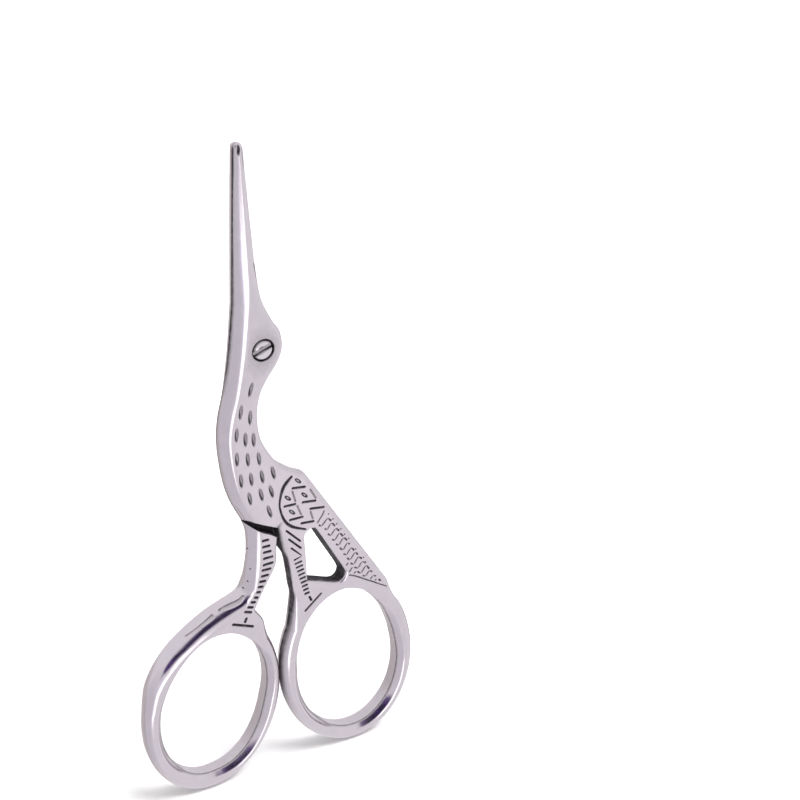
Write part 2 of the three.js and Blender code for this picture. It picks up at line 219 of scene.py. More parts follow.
def crossings(row, polygon):
    """Which steps from one point of a row to the next, and from its last to its first, cross a polygon."""
    a, b = row, np.roll(row, -1, axis=0)
    p, q = polygon, np.roll(polygon, -1, axis=0)
    low, high = p.min(axis=0) - STEP, p.max(axis=0) + STEP
    near = np.flatnonzero(((np.minimum(a, b) <= high) & (np.maximum(a, b) >= low)).all(axis=1))
    a, b = a[near][:, None], b[near][:, None]
    apart = turning(a, b, p) * turning(a, b, q) > 0
    beside = turning(p, q, a) * turning(p, q, b) > 0
    crossed = np.zeros(len(row), bool)
    crossed[near] = (~apart & ~beside).any(axis=1)
    return crossed


# An edge's section, from the wall inwards: height of the wall, width of the rounding or bevel, half the
# width of a bevel's rounded ridge or the reach of a rounding's painted shade, share of rounding (1) against
# bevel (0), degrees at which a rounding starts, and how dark the painted shade on the wall is. Values left
# out at its end are 0.
# The last value of these is painted shade: on the neck and back edges, in creases where the halves and legs
# meet, on hole and bore walls and round the ring bars' insides.
NECK = (0.95, 0.42, 0.24, 1, 0, 0.35)
BACK_EDGE = (0.8, 0.7, 0.26, 1, 0, 0.35)
BAR = (0.05, 1.25, 0.3, 1)
BAR_SHADED = (0.05, 1.25, 0.35, 1, 0, 0.95)
BAR_INSIDE = (0.02, 1.25, 0.2, 1, 32, 0.9)
BAR_INSIDE_BEVEL = (0.55, 0.85, 0.25, 0.1, 30, 0.9)
BAR_INSIDE_TOP = (1.2, 0.14, 0.05, 1, 20, 0.5)
BAR_INSIDE_BACK = (0.95, 0.4, 0.1, 1)
SHARP = (1.28, 0.12, 0.05, 1, 0, 1)
REAR_NECK = (0.9, 0.5, 0.1, 1)
HOLE = (1.24, 0.16, 0.06, 1, 0, 1)
HOLE_FOOT = (0.95, 0.5, 0.06, 1, 0, 1)
BORE = (1.3, 0.1, 0.14, 1, 0, 1)
CROTCH_SHADE_HEIGHTS, CROTCH_SHADE = (40.5, 42.8), (1, 0.1)
BEVEL_SHADE_REACH = 0.12  # how far the wall's painted shade reaches onto a bevel
# The same, as it changes with height along a line. Their painted shade darkens the blade's spine, the legs'
# walls and the ring insides.
CHEST_AND_SPINE = [
    (39, (0.1, 1.2, 0.2, 0.2)), (46, (0.1, 1.22, 0.26, 0.2)), (51, (0.1, 1.25, 0.32, 0.2)),
    (55, (0.1, 1.38, 0.34, 0.15)), (57, (0.1, 1.4, 0.36, 0.1)), (61, (0.12, 1.4, 0.45, 0.1, 0, 0.9)),
    (65, (0.14, 1.42, 0.5, 0.1, 0, 1)), (71.6, (0.2, 1.5, 0.65, 0.1, 0, 1)),
    (75, (0.28, 1.3, 0.7, 0.1, 0, 1)), (80, (0.4, 0.9, 0.65, 0, 0, 1)), (84, (0.5, 0.75, 0.45, 0, 0, 1)),
    (86.5, (0.6, 0.72, 0.25, 0, 0, 1)), (89.5, (0.69, 0.45, 0.1, 0, 0, 1)), (89.85, (0.7, 0.4, 0.1)),
]
EDGE_AND_HEAD = [
    (45.8, NECK), (67, NECK), (71, (0.62, 0.8, 0.2, 0.5)), (74.5, (0.4, 1.15, 0.2)),
    (80, (0.35, 0.95, 0.16)), (85, (0.35, 0.8, 0.14)), (89.1, (0.35, 0.45, 0.12)), (90, (0.35, 0.3, 0.1)),
]
CHEST_AND_EDGE = [
    (39, (0.1, 1.2, 0.38)), (57, (0.1, 1.3, 0.3)), (61, (0.35, 1.1, 0.3)), (66, (0.45, 1, 0.35)),
    (71, (0.6, 1.1, 0.2)), (75, (0.7, 1.1, 0.2)), (80, (0.85, 0.9, 0.16)), (85, (0.95, 0.6, 0.14)),
    (90, (1, 0.3, 0.1)),
]
REAR_SPINE = [
    (45, REAR_NECK), (58, REAR_NECK), (66, (0.5, 0.9, 0.3, 0.5)), (71.6, (0.1, 1.2, 0.35)),
    (80, (0.1, 0.78, 0.42)), (90, (0.1, 0.5, 0.1)),
]
BESIDE_WING_BY_HEIGHT = [(41.8, SHARP), (42.9, REAR_NECK)]
RIGHT_LEG = [
    (20.8, BAR_SHADED), (23.1, (0.5, 0.8, 0.3, 1, 0, 0.95)), (25.7, (1, 0.35, 0.12, 1, 0, 1)),
    (28, (1.2, 0.18, 0.14, 1, 0, 1)), (31.5, (1.15, 0.25, 0.25, 1, 0, 1)),
    (34, (1.1, 0.45, 0.5, 1, 0, 1)), (37.2, (1.1, 0.45, 0.45, 1, 0, 1)),
]
RIGHT_LEG_BACK = [
    (20.8, BAR), (24, (0.05, 1.1, 0.3, 1, 0, 0.6)), (32.4, (0.05, 1.1, 0.3, 1, 0, 0.6)),
    (33.4, (0.9, 0.5, 0.6, 1, 0, 1)),
]
LEFT_LEG_RIGHT = [(20.8, BAR), (23.5, (0.7, 0.6, 0.2, 1)), (27, (1, 0.3, 0.16, 1, 0, 0.45)), (37, NECK)]
LEFT_LEG_LEFT = [
    (14, BAR), (18.1, (-0.2, 1.5, 0.4, 0.9)), (20.65, (-0.45, 1.6, 0.4, 0.8)),
    (23, (-0.7, 1.65, 0.4, 0.7)), (24, (-0.9, 1.65, 0.4, 0.65)), (26, (-0.9, 1.75, 0.45, 0.6)),
    (27.6, (-0.9, 1.8, 0.45, 0.6)), (28.4, (-0.8, 1.65, 0.45, 0.6)), (29.9, (-0.45, 1.35, 0.5, 0.5)),
    (31.5, (-0.15, 1.2, 0.6, 0.3)), (34, (0.1, 1.2, 0.6, 0.25)), (40, (0.1, 1.2, 0.55, 0.2)),
]
LEFT_LEG_BACK = [
    (14, BAR), (18, (0.6, 0.8, 0.2, 1)), (24, (1, 0.4, 0.1, 1)), (28.4, (1, 0.4, 0.1, 1)),
    (31.5, (0.4, 0.9, 0.3)), (34, (0.1, 1.15, 0.3)), (40, (0.1, 1.2, 0.38)),
]
# Painted shade on the right ring's bar where it touches the left ring.
RIGHT_RING_BY_ANGLE = [(-222, BAR_SHADED), (-185, BAR_SHADED), (-160, BAR), (22, BAR)]
HOLE_BY_HEIGHT = [(26, HOLE_FOOT), (27.2, HOLE_FOOT), (28.3, HOLE), (36, HOLE)]
LEFT_INSIDE_BY_ANGLE = [
    (0, BAR_INSIDE), (20, (0.4, 0.85, 0.12, 1, 32, 0.9)), (45, (1, 0.35, 0.1, 1, 25, 0.7)),
    (62, BAR_INSIDE_TOP), (120, BAR_INSIDE_TOP), (150, BAR_INSIDE_BEVEL), (285, BAR_INSIDE_BEVEL),
    (325, BAR_INSIDE), (360, BAR_INSIDE),
]
RIGHT_INSIDE_BY_ANGLE = [
    (20, BAR_INSIDE_BEVEL), (62, BAR_INSIDE_TOP), (120, BAR_INSIDE_TOP), (160, BAR_INSIDE),
    (215, BAR_INSIDE), (255, BAR_INSIDE_BEVEL), (360, BAR_INSIDE_BEVEL),
]


def whole(section):
    """A section with all its values."""
    return np.array([*section, 0, 0, 0][:6], float)


def along(points, start, end=None):
    """A line with a section that changes evenly from its start to its end."""
    share = np.linspace(0, 1, len(points))[:, None]
    return points, whole(start) * (1 - share) + whole(end or start) * share


def stepped(points, places, stops):
    """A line with a section looked up by a place along it."""
    marks, sections = zip(*stops)
    columns = np.array([whole(section) for section in sections]).T
    return points, np.column_stack([np.interp(places, marks, column) for column in columns])


def by_height(points, stops):
    return stepped(points, points[:, 1], stops)


class Edge:
    """A line of an outline, with the solid on its right, and the section of the solid along it."""

    ROW_DEGREES = (15, 32, 50, 70, 90)  # where the rows lie on a rounding
    CHUNK = 1500  # points looked up at once
    ON_EDGE = 1e-3  # a point nearer than this lies on the edge

    def __init__(self, *pieces, closed=False):
        points, sections = (np.vstack(column) for column in zip(*pieces))
        kept = fresh(points)
        self.points, self.sections, self.closed = points[kept], sections[kept], closed
        if closed and np.linalg.norm(self.points[0] - self.points[-1]) < SAME:
            self.points, self.sections = self.points[:-1], self.sections[:-1]
        ahead = np.roll(self.points, -1, axis=0) if closed else self.points[1:]
        self.starts = self.points if closed else self.points[:-1]
        self.runs = ahead - self.starts
        self.normals = right_normals(self.points, closed)

    def nearest(self, points):
        """Distance, direction away from the edge, and section at the nearest place of the edge."""
        distance, direction, section = [], [], []
        squares = (self.runs**2).sum(axis=1)
        for part in np.array_split(points, len(points) // self.CHUNK + 1):
            gap = part[:, None] - self.starts
            t = np.clip((gap * self.runs).sum(axis=2) / squares, 0, 1)
            off = gap - t[:, :, None] * self.runs
            best = (off**2).sum(axis=2).argmin(axis=1)
            rows = np.arange(len(part))
            share = t[rows, best][:, None]
            after = (best + 1) % len(self.points)
            d = lengths(off[rows, best])
            normal = self.normals[best] * (1 - share) + self.normals[after] * share
            distance.append(d)
            direction.append(np.where(d[:, None] > self.ON_EDGE, unit(off[rows, best]), normal))
            section.append(self.sections[best] * (1 - share) + self.sections[after] * share)
        return np.concatenate(distance), np.concatenate(direction), np.concatenate(section)

    def rows(self):
        """Lines beside the edge that carry its rounding or bevel."""
        h, w, b, k = self.sections[:, :4].T
        bevel = [0.4 * (w - b), w - b, w - b / 3, w + b / 3, w + b]
        for turn, slope in zip(self.ROW_DEGREES, bevel):
            level = k * w * (1 - math.cos(math.radians(turn))) + (1 - k) * slope
            yield self.points + self.normals * level[:, None], level


def right_normals(points, closed):
    """Unit normals on the right of a line at each of its points."""
    runs = np.diff(np.vstack([points, points[:1]]) if closed else points, axis=0)
    runs /= lengths(runs)[:, None]
    right = np.column_stack([runs[:, 1], -runs[:, 0]])
    before = np.roll(right, 1, axis=0) if closed else np.vstack([right[:1], right])
    after = right if closed else np.vstack([right, right[-1:]])
    mean = before + after
    return mean / np.maximum(lengths(mean), SAME)[:, None]


def raised(distance, section):
    """Share of the full height at a distance from an edge, and its slope."""
    h, w, b, k, start, painted_shade = section.T
    c0, s0 = np.cos(np.radians(start)), np.sin(np.radians(start))
    c = c0 * (1 - np.clip(distance / w, 0, 1))
    rise = np.sqrt(np.maximum(1 - c**2, 1e-5))
    round_height = (rise - s0) / (1 - s0)
    round_slope = np.where(distance < w, c * c0 / w / rise / (1 - s0), 0)
    short = np.clip(w + b - distance, 0, 2 * b)
    bevel_height = np.where(distance < w - b, distance / w, 1 - short**2 / (4 * b * w))
    bevel_slope = np.where(distance < w - b, 1 / w, short / (2 * b * w))
    return k * round_height + (1 - k) * bevel_height, k * round_slope + (1 - k) * bevel_slope


def relief(edges, points):
    """Height above the mid-plane, its gradient, and darkness of painted shade at [x, z] points."""
    height = np.full(len(points), np.inf)
    gradient = np.zeros((len(points), 2))
    dark = np.zeros(len(points))
    top = FACE + (TIP_FACE - FACE) * np.clip((points[:, 1] - TAPER_Z) / (TIP_Z - TAPER_Z), 0, 1)
    for edge in edges:
        distance, away, section = edge.nearest(points)
        share, slope = raised(distance, section)
        low = section[:, 0] * top / FACE
        own = low + (top - low) * share
        lower = own < height
        height = np.where(lower, own, height)
        gradient = np.where(lower[:, None], away * ((top - low) * slope)[:, None], gradient)
        reach = section[:, 3] * section[:, 2] + (1 - section[:, 3]) * BEVEL_SHADE_REACH
        dark = np.maximum(dark, section[:, 5] * np.clip(1 - distance / reach, 0, 1))
    gradient[:, 1] += np.where(points[:, 1] > TAPER_Z, (TIP_FACE - FACE) / (TIP_Z - TAPER_Z), 0)
    return height, gradient, dark


def unit(vectors):
    """Vectors made one long, with those of no length left at zero."""
    return vectors / np.maximum(lengths(vectors), 1e-9)[:, None]


class Solid:
    """The faces of one piece, with a normal and a darkness at each corner. Points in one cell are shared."""

    CELLS_PER_MM = 1e4
    CELL = 1e-7  # in metres

    def __init__(self):
        self.cells, self.faces, self.normals, self.dark = {}, [], [], []

    def add(self, points, normals, faces, dark=0):
        cells = np.round(points * self.CELLS_PER_MM).astype(int)
        keys = [self.cells.setdefault(tuple(cell), len(self.cells)) for cell in cells]
        shade = np.broadcast_to(np.array(dark, float), len(points))
        for face in faces:
            corners = [c for n, c in enumerate(face) if keys[c] != keys[face[n - 1]]]
            if len(corners) > 2:
                self.faces.append([keys[c] for c in corners])
                self.normals.extend(normals[c] for c in corners)
                self.dark.extend(shade[c] for c in corners)

    def piece(self, name, material):
        mesh = bpy.data.meshes.new(name)
        mesh.from_pydata(np.array(list(self.cells)) * self.CELL, [], self.faces)
        mesh.materials.append(material)
        # The corners' painted shade goes to the material as the dark attribute.
        mesh.attributes.new("dark", "FLOAT", "CORNER").data.foreach_set("value", self.dark)
        mesh.shade_smooth()
        mesh.normals_split_custom_set(self.normals)
        made = bpy.data.objects.new(name, mesh)
        scene.collection.objects.link(made)
        return made


def facet_normals(points, faces):
    """Smooth normals of a small patch, weighted by area."""
    sums = np.zeros_like(points)
    for face in faces:
        for a, b, c in zip(face[:1] * (len(face) - 2), face[1:-1], face[2:]):
            flat = np.cross(points[b] - points[a], points[c] - points[a])
            for corner in (a, b, c):
                sums[corner] += flat
    return unit(sums)


def grid_faces(rows, columns, closed=False):
    """Quads between rows of points, each row with that many columns."""
    faces = []
    for row in range(rows - 1):
        for column in range(columns if closed else columns - 1):
            here, after = row * columns + column, row * columns + (column + 1) % columns
            faces.append([here, after, after + columns, here + columns])
    return faces


def facing(faces, side):
    """Triangles of the front view, wound to face the front or the back."""
    return (faces if side == FRONT else faces[:, ::-1]).tolist()


class Groove:
    """A stroke cut along a line, round at its ends: its rim, and its bed as rows of [x, z] points. Widths are
    spread evenly along the line."""

    ACROSS = (-1.3, -1.05, -0.8, -0.4, 0, 0.4, 0.8, 1.05, 1.3)
    DEPTHS = (0, 0.1, 0.6, 0.96, 1, 0.96, 0.6, 0.1, 0)
    # Painted shade across a cut: dark in its bed, a little paler towards its right side.
    PAINTED_SHADE = (0, 0.35, 1, 1, 1, 1, 0.95, 0.3, 0)
    CAP = ((0, 0), (0.134, 0.5), (0.5, 0.866), (1, 1))  # way along a round end, and share of the width
    LONGEST_CAP = 0.45  # of the line's length
    CAP_CLEARANCE = 1.05  # in caps, from an end to the next row of the bed
    BEND = 0.33  # most half width, against a bend's radius and the way from it

    def __init__(self, points, widths=(0.3,), depth=0.2, painted_shade=PAINTED_SHADE):
        points = np.array(points, float)
        marks = np.concatenate([[0], np.cumsum(lengths(np.diff(points, axis=0)))])
        length = marks[-1]
        cap = min(max(widths) / 2, length * self.LONGEST_CAP)
        clear = cap * self.CAP_CLEARANCE
        middle = [m for m in marks[1:-1] if clear < m < length - clear]
        places, shares = np.array(self.CAP).T
        stations = np.concatenate([places * cap, middle, length - places[::-1] * cap])
        swell = np.concatenate([shares, np.ones(len(middle)), shares[::-1]])
        half = np.interp(stations / length, np.linspace(0, 1, len(widths)), widths) / 2 * swell
        columns = (*points.T, *right_normals(points, False).T)
        x, z, side_x, side_z = (np.interp(stations, marks, column) for column in columns)
        centre, side = np.column_stack([x, z]), unit(np.column_stack([side_x, side_z]))
        half = np.minimum(half, self.bend_limit(centre, stations))
        self.bed = snapped([[c + s * u * h for u in self.ACROSS] for c, s, h in zip(centre, side, half)])
        self.depths = np.outer(swell, self.DEPTHS) * depth
        self.painted_shade = np.outer(swell >= shares[1], painted_shade)
        self.rim = joined(self.bed[:, 0], self.bed[::-1, -1])[:-1]
        self.faces = grid_faces(len(stations), len(self.ACROSS))

    def bend_limit(self, centre, stations):
        """Most half width at each station that keeps the rim from crossing itself."""
        steps = np.diff(centre, axis=0)
        heading = np.unwrap(np.arctan2(steps[:, 1], steps[:, 0]))
        spacing = lengths(steps)
        radius = (spacing[1:] + spacing[:-1]) / 2 / np.maximum(np.abs(np.diff(heading)), SAME)
        apart = np.abs(stations[:, None] - stations[None, 1:-1])
        return (self.BEND * (radius + apart)).min(axis=1)


class Dimple:
    """An oval cut, leaning by an angle from upright, with (scale, depth, painted shade) steps from its rim to
    its middle. The lit side is how much of the painted shade is missing on one side, as if light fell there."""

    POINTS = 24
    BLUNTNESS = 0.85  # 1 for an ellipse, less for fuller sides

    def __init__(self, centre, length, width, lean, steps, lit_side=0):
        t = np.linspace(0, 2 * math.pi, self.POINTS + 1)[:-1]
        across = np.sign(np.sin(t)) * np.abs(np.sin(t)) ** self.BLUNTNESS
        oval = np.column_stack([width / 2 * across, length / 2 * np.cos(t)])
        bare = 1 - lit_side * np.clip(0.5 + np.sin(t + 0.5), 0, 1)
        c, s = math.cos(lean), math.sin(lean)
        oval = oval @ np.array([[c, -s], [s, c]])
        scales, depths, painted_shades = zip(*steps)
        self.bed = snapped([np.array(centre) + oval * scale for scale in scales])
        self.depths, self.painted_shade = np.outer(depths, np.ones(self.POINTS)), np.outer(painted_shades, bare)
        self.rim = self.bed[0]
        floor = [(len(steps) - 1) * len(oval) + n for n in range(len(oval))]
        self.faces = [*grid_faces(len(steps), len(oval), closed=True), floor]


CDT_TOLERANCE = 1e-5
ROW_SHARE, ROW_SLACK = 0.985, 0.002  # a row ends where it is nearer to its edge than this share of its level
ROW_CLEARANCE = 0.04  # and where it is nearer than this to another edge


def triangulated(lines, outer, holes):
    """Triangles between an outer loop and its holes, with the given (points, closed) lines as edges too."""
    points, edges = [], []
    for line_points, closed in [*((ring, True) for ring in (outer, *holes)), *lines]:
        first = len(points)
        points.extend(Vector(p) for p in line_points)
        edges.extend((n, n + 1) for n in range(first, len(points) - 1))
        if closed:
            edges.append((len(points) - 1, first))
    made = delaunay_2d_cdt(points, edges, [], 0, CDT_TOLERANCE, False)
    flat = snapped([tuple(v) for v in made[0]])
    faces = np.array([f for f in made[2] if len(f) == 3])
    middles = flat[faces].mean(axis=1)
    kept = inside(middles, outer)
    for hole in holes:
        near = ((middles >= hole.min(axis=0)) & (middles <= hole.max(axis=0))).all(axis=1)
        kept[near] &= ~inside(middles[near], hole)
    return flat, faces[kept]


def add_surface(solid, side, edges, outer, holes, cuts=()):
    """One flat side of a piece with its rounded and bevelled edges and its engraved cuts."""
    gaps = [*holes, *(cut.rim for cut in cuts)]
    lines = []
    for edge in edges:
        for row, level in edge.rows():
            distance = edge.nearest(row)[0]
            good = inside(row, outer) & (distance > level * ROW_SHARE - ROW_SLACK)
            for gap in gaps:
                good &= ~inside(row, gap)
            for other in edges:
                if other is not edge:
                    good &= other.nearest(row)[0] > ROW_CLEARANCE
            crossed = np.any([crossings(row, polygon) for polygon in (outer, *gaps)], axis=0)
            ends = np.flatnonzero((np.diff(good.astype(int)) != 0) | crossed[:-1])
            for part, flag in zip(np.split(row, ends + 1), np.split(good, ends + 1)):
                if flag[0]:
                    lines.append((part, edge.closed and len(ends) == 0 and not crossed[-1]))
    flat, faces = triangulated(lines, outer, gaps)
    height, gradient, dark = relief(edges, flat)
    solid.add(placed(flat, side * height), surface_normals(side, gradient), facing(faces, side), dark)
    for cut in cuts:
        add_cut(solid, side, edges, cut)


def placed(flat, y):
    """Points in space from [x, z] points and their depth."""
    return np.column_stack([flat[:, 0], np.broadcast_to(y, len(flat)), flat[:, 1]])


def surface_normals(side, gradient):
    return unit(np.column_stack([-gradient[:, 0], np.full(len(gradient), side), -gradient[:, 1]]))


def add_cut(solid, side, edges, cut):
    """The bed of an engraved cut."""
    flat, depths = cut.bed.reshape(-1, 2), cut.depths.reshape(-1)
    height, gradient, dark = relief(edges, flat)
    points = placed(flat, side * (height - depths))
    turns_left = turning(*flat[cut.faces[len(cut.faces) // 2][:3]]) > 0
    faces = cut.faces if turns_left == (side == FRONT) else [f[::-1] for f in cut.faces]
    normals = np.where(depths[:, None] > 0, facet_normals(points, faces), surface_normals(side, gradient))
    solid.add(points, normals, faces, np.maximum(cut.painted_shade.reshape(-1), dark))


def add_wall(solid, run, one, other, closed=False, dark=0, lean=(0, 0), joint=None):
    """A wall along a line with the solid on its right, between two depths at each point. The lean is how far
    the line lies aside at the second depth, the joint the depth at which other walls meet its ends."""
    count = len(run)
    near, far = placed(run, one), placed(run + np.array(lean), other)
    points = np.vstack([near, far] if np.mean(one) < np.mean(other) else [far, near])
    normals = right_normals(run, closed)
    out = np.column_stack([-normals[:, 0], np.zeros(count), -normals[:, 1]])
    faces = []
    for n in range(count if closed else count - 1):
        after = (n + 1) % count
        faces.append([n, after, after + count, n + count])
    rows = [*range(count), *range(count)]
    if joint is not None:
        points = np.vstack([points, placed(run[[0, -1]], joint)])
        rows += [0, count - 1]
        faces[0].append(2 * count)
        faces[-1].insert(2, 2 * count + 1)
    solid.add(points, out[rows], faces, np.broadcast_to(dark, count)[rows])


def add_plane(solid, y, side, outer, holes=(), dark=1):
    """A flat face at one depth, with painted shade as dark as given or by [x, z] place; fully dark unless
    told otherwise.
    """
    flat, faces = triangulated([], outer, holes)
    shade = dark(flat) if callable(dark) else dark
    solid.add(placed(flat, y), np.tile([0, side, 0], (len(flat), 1)), facing(faces, side), shade)


def loop(*runs):
    """The closed outline made by lines that follow each other."""
    return joined(*runs)[:-1]


def crotch_shade(points):
    """How dark the hidden faces are painted: dark painted shade near the crotch, almost none above it."""
    return np.interp(points[:, 1], CROTCH_SHADE_HEIGHTS, CROTCH_SHADE)


def add_half(solid, side, face, pad, layer, handle, divide, holes, layer_hole, inner_hole, cuts, pad_cuts):
    """One half of the scissors: its whole face on one side, the pad of its handle on the other side, the
    sliding face behind its layer, and the walls. Layer and handle are the lines round them, up to the
    dividing line. Each hole has a lean and a darkness of painted shade on its wall. Cuts that would run off
    the pad are left out."""
    outer, rim = loop(*handle, *layer), loop(*handle, divide)
    pad_holes = [hole + np.array(lean) for hole, lean, painted_shade in holes]
    add_surface(solid, side, face, outer, [*(hole[0] for hole in holes), layer_hole], cuts)
    add_surface(solid, -side, pad, rim, pad_holes, [cut for cut in pad_cuts if inside(cut.rim, rim).all()])
    for run in handle:
        height, gradient, dark = relief(face, run)
        add_wall(solid, run, side * height, -side * relief(pad, run)[0], dark=dark, joint=side * INNER)
    for (hole, lean, painted_shade), pad_hole in zip(holes, pad_holes):
        far = -side * relief(pad, pad_hole)[0]
        add_wall(solid, hole, side * relief(face, hole)[0], far, True, painted_shade, lean)
    for run in layer:
        add_wall(solid, run, side * relief(face, run)[0], side * INNER, dark=relief(face, run)[2])
    add_wall(solid, divide, side * INNER, -side * relief(pad, divide)[0], dark=crotch_shade(divide))
    add_plane(solid, side * INNER, -side, loop(*layer, divide[::-1]), [inner_hole], crotch_shade)


def cut_at(run, place):
    """A line in two at its point nearest to a place."""
    n = int(lengths(run - np.array(place)).argmin())
    return run[: n + 1], run[n:]


# Outlines, clockwise as seen from the front.
tip_left, tip_right = cut_at(spline(TIP), TIP[2])
edge_and_head = joined(tip_right, line(TIP[-1], HEAD_AND_NECK[0]), spline(HEAD_AND_NECK))
chest_and_spine = joined(spline(CHEST), line(CHEST[-1], TIP[0]), tip_left)
RIGHT_RING_ANGLES, LEFT_RING_ANGLES = ring_angles(22, -222), ring_angles(138, 361)
INSIDE_ANGLES = ring_angles(0, 360)[:-1]
right_ring = ring_points(1, RING_BAR, RIGHT_RING_ANGLES)
right_inside = ring_hole(1, INSIDE_ANGLES, RIGHT_GROWTH)
left_ring = ring_points(-1, RING_BAR, LEFT_RING_ANGLES)
left_inside = ring_hole(-1, INSIDE_ANGLES[::-1], LEFT_GROWTH)
shoulder_top, shoulder = cut_at(spline(SHOULDER), WING[-1])
back = line(SHOULDER[-1], TAIL[0])
tail = spline([*TAIL, right_ring[0]])
right_leg = spline([right_ring[-1], *FOOT])
belly = spline(BELLY)
wing = spline([*WING[:-1], shoulder[0]])
tail_hole = spline([*TAIL_HOLE, TAIL_HOLE[0]])[:-1]
rear_neck = joined(cut_at(edge_and_head, HEAD_AND_NECK[-5])[0])
beside_wing = joined(spline([rear_neck[-1], *BESIDE_WING]), line(BESIDE_WING[-1], LEFT_LEG_TOP[-1]))
left_leg_right = spline([LEFT_LEG_TOP[-1], *LEFT_LEG_INSIDE, left_ring[0]])
left_leg_left, left_thigh = cut_at(spline([left_ring[-1], *LEFT_HEEL]), LEFT_LEG_TOP[0])
left_leg_top = spline([left_leg_left[-1], *LEFT_LEG_TOP[1:]])

bore, shank_hole, thread_hole = (pivot_circle(radius) for radius in (BORE_RADIUS, SHANK_HOLE, THREAD_HOLE))

back_and_tail = [along(back, BACK_EDGE), along(tail, BACK_EDGE, BAR)]
front_face = [
    Edge(
        by_height(edge_and_head, EDGE_AND_HEAD),
        along(joined(shoulder_top, shoulder), NECK, BACK_EDGE),
        *back_and_tail,
        stepped(right_ring, RIGHT_RING_ANGLES, RIGHT_RING_BY_ANGLE),
        by_height(right_leg, RIGHT_LEG),
    ),
    Edge(along(joined(belly, [BELLY_LEAD]), SHARP)),
    Edge(by_height(joined([CHEST_LEAD], chest_and_spine), CHEST_AND_SPINE)),
    Edge(by_height(tail_hole, HOLE_BY_HEIGHT), closed=True),
    Edge(stepped(right_inside, INSIDE_ANGLES, RIGHT_INSIDE_BY_ANGLE), closed=True),
    Edge(along(bore, BORE), closed=True),
]
front_pad = [
    Edge(
        *back_and_tail,
        along(right_ring, BAR),
        by_height(right_leg, RIGHT_LEG_BACK),
    ),
    Edge(along(wing, SHARP)),
    Edge(along(tail_hole + np.array(HOLE_LEAN), HOLE), closed=True),
    Edge(along(right_inside, BAR_INSIDE_BACK), closed=True),
]
rear_face = [
    Edge(by_height(rear_neck, REAR_SPINE)),
    Edge(
        by_height(beside_wing, BESIDE_WING_BY_HEIGHT),
        by_height(left_leg_right, LEFT_LEG_RIGHT),
        along(left_ring, BAR),
        by_height(joined(left_leg_left, left_thigh), LEFT_LEG_BACK),
    ),
    Edge(by_height(joined([CHEST_LEAD], chest_and_spine), CHEST_AND_EDGE)),
    Edge(along(left_inside, BAR_INSIDE_BACK), closed=True),
    Edge(along(thread_hole, BORE), closed=True),
]
rear_pad = [
    Edge(
        by_height(left_leg_right, LEFT_LEG_RIGHT),
        along(left_ring, BAR),
        by_height(joined(left_leg_left, left_thigh), LEFT_LEG_LEFT),
    ),
    Edge(along(left_leg_top, SHARP)),
    Edge(stepped(left_inside, INSIDE_ANGLES[::-1], LEFT_INSIDE_BY_ANGLE), closed=True),
]

# Engraving on the fronts, repeated on the backs.
FEATHERS = [
    (-2.49, 58), (-3.99, 55.23), (-2.77, 54.16), (-4.72, 52.23), (-3.57, 51.27), (-2.47, 50.92),
    (-4.85, 48.81), (-3.39, 48.34), (-1.87, 48.02), (-4.46, 45.58), (-3.07, 45.41), (-1.57, 45.33),
    (-0.03, 45.45), (-3.41, 42.69), (-1.82, 42.78), (-0.4, 42.82), (-0.8, 39.99),
]
FEATHER_LEANS = [(40, -0.2), (43, -0.15), (45.5, -0.1), (48.4, -0.07), (51.5, 0), (54.7, 0.1), (58, 0.3)]
FEATHER_STEPS = [(1.14, 0, 0), (1, 0.03, 0.5), (0.84, 0.13, 1), (0.55, 0.2, 1), (0.25, 0.23, 0.95)]
WING_ARC = [
    (2.63, 44.22), (1.32, 42.9), (0.69, 40.93), (0.73, 39.6), (1.28, 37.91), (2.32, 36.7), (4.28, 35.69),
]
WING_STROKES = [
    [(2.37, 42.38), (4.44, 42.01)], [(1.15, 40.05), (2.99, 39.92)], [(1.83, 37.82), (3.95, 37.72)],
    [(3.72, 39.88), (5.85, 39.52)], [(4.76, 38.6), (6.98, 38.19)], [(3.42, 36.83), (5.45, 36.57)],
]
WING_LINES = [
    [(2.46, 42.06), (2.91, 40.21)], [(3.05, 39.75), (3.62, 38.03)], [(4.9, 38.28), (5.25, 36.9)],
    [(4.95, 41.55), (5.81, 39.83)],
]
WING_SPOTS = [(3.35, 43.21), (4.18, 40.86), (1.83, 41.13), (2.33, 38.9)]
SPOT_STEPS = [(1.12, 0, 0), (1, 0.05, 0.9), (0.75, 0.13, 1), (0.52, 0.12, 0.9), (0.28, 0.04, 0.25)]
THIGH = [
    [(1.32, 36.5), (3.4, 34.15)], [(1.61, 35.13), (3.45, 33.07)],
    [(1.92, 33.67), (3.5, 31.95), (2.25, 31.62)],
]
CLAW = [[(4.25, 25.5), (4.62, 24.6)], [(3.53, 23.29), (4.7, 24.24), (6.12, 25.38)]]
LEFT_HATCHES = [
    [(-2.22, 36.76), (-1.2, 36.68)], [(-2.1, 35.95), (-1.02, 35.88)], [(-2.09, 35.02), (-0.89, 34.96)],
    [(-2.04, 34.17), (-0.76, 34.11)], [(-2.07, 33.26), (-0.55, 33.22)], [(-2.15, 32.32), (-0.55, 32.32)],
    [(-2.34, 31.58), (-0.9, 31.5)], [(-2.51, 30.72), (-1.29, 30.68)], [(-2.78, 30), (-1.72, 29.89)],
    [(-2.99, 29.28), (-2.13, 29.14)], [(-3.26, 28.6), (-2.54, 28.43)], [(-3.62, 27.95), (-2.94, 27.67)],
    [(-4.1, 27.37), (-3.33, 27.12)], [(-4.6, 26.78), (-3.67, 26.45)], [(-5.08, 26.25), (-3.94, 25.76)],
]
LEFT_CLAW = [[(-4.7, 25.3), (-5.06, 24.5)], [(-6.87, 24.92), (-3.8, 23.54)]]
HEEL_PITS = [(-3.93, 30.06), (-4.42, 28.97), (-3.62, 34.81), (-3.75, 33.58), (-3.55, 31.9)]
